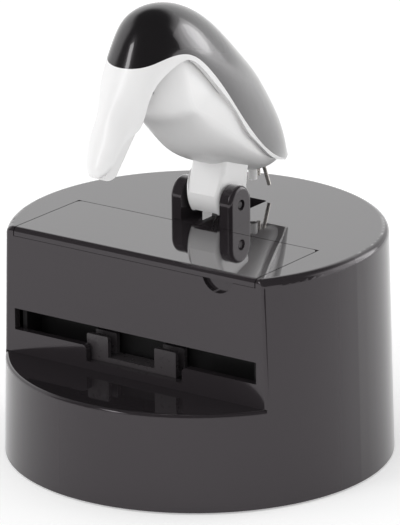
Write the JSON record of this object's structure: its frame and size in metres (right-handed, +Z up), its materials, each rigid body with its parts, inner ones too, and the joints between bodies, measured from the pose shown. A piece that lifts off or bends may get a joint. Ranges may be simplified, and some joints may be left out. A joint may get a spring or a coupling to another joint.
{
  "type": "toothpick dispenser",
  "caption": "Round housing with a flat pick-up face and slot, refill lid, and a hinged bird that dips its beak to pick up a toothpick.",
  "frame": {"origin": "centre of the footprint, on the surface that it stands on", "axes": "+Z up; the flat pick-up face looks along -Y; the bird's hinge lies along X"},
  "size_m": [0.095, 0.095, 0.1147],
  "materials": {
    "black_gloss": "high-gloss moulded black plastic",
    "black_matte": "fine matt black plastic inside and underneath",
    "white_gloss": "glossy white moulded plastic",
    "foot_rubber": "matt black rubber",
    "steel": "bright drawn steel wire and turned pins"
  },
  "bodies": {
    "housing": {"housing_shell": "black_gloss", "base_plate": "black_matte", "base_screws": "steel", "foot_pads": "foot_rubber", "hopper": "black_matte", "hopper_screws": "steel", "pick_rest": "black_gloss", "hinge_pin": "steel", "return_spring": "steel"},
    "lid": {"lid": "black_gloss"},
    "bird": {"back_cap": "black_gloss", "head_shell": "white_gloss", "belly": "white_gloss", "tail_screw": "steel", "tail_wire": "steel", "jaw_pin": "steel", "jaw_spring": "steel"},
    "jaw": {"lower_beak": "white_gloss"}
  },
  "joints": [
    {"name": "lid_slide", "type": "slide", "parent": "housing", "child": "lid", "axis": [0, -1, 0], "range_m": [0, 0.0024]},
    {"name": "bird_dip", "type": "hinge", "parent": "housing", "child": "bird", "pos_m": [0, 0.0055, 0.0614], "axis": [1, 0, 0], "range_deg": [0, 54], "stiffness_Nm_per_rad": 0.004, "springref_deg": -68.75, "deforming": ["return_spring"]},
    {"name": "jaw_open", "type": "hinge", "parent": "bird", "child": "jaw", "pos_m": [0, -0.0215, 0.103], "axis": [1, 0, 0], "range_deg": [0, 4.5], "stiffness_Nm_per_rad": 0.002, "springref_deg": -28.65, "deforming": ["jaw_spring"]}
  ]
}
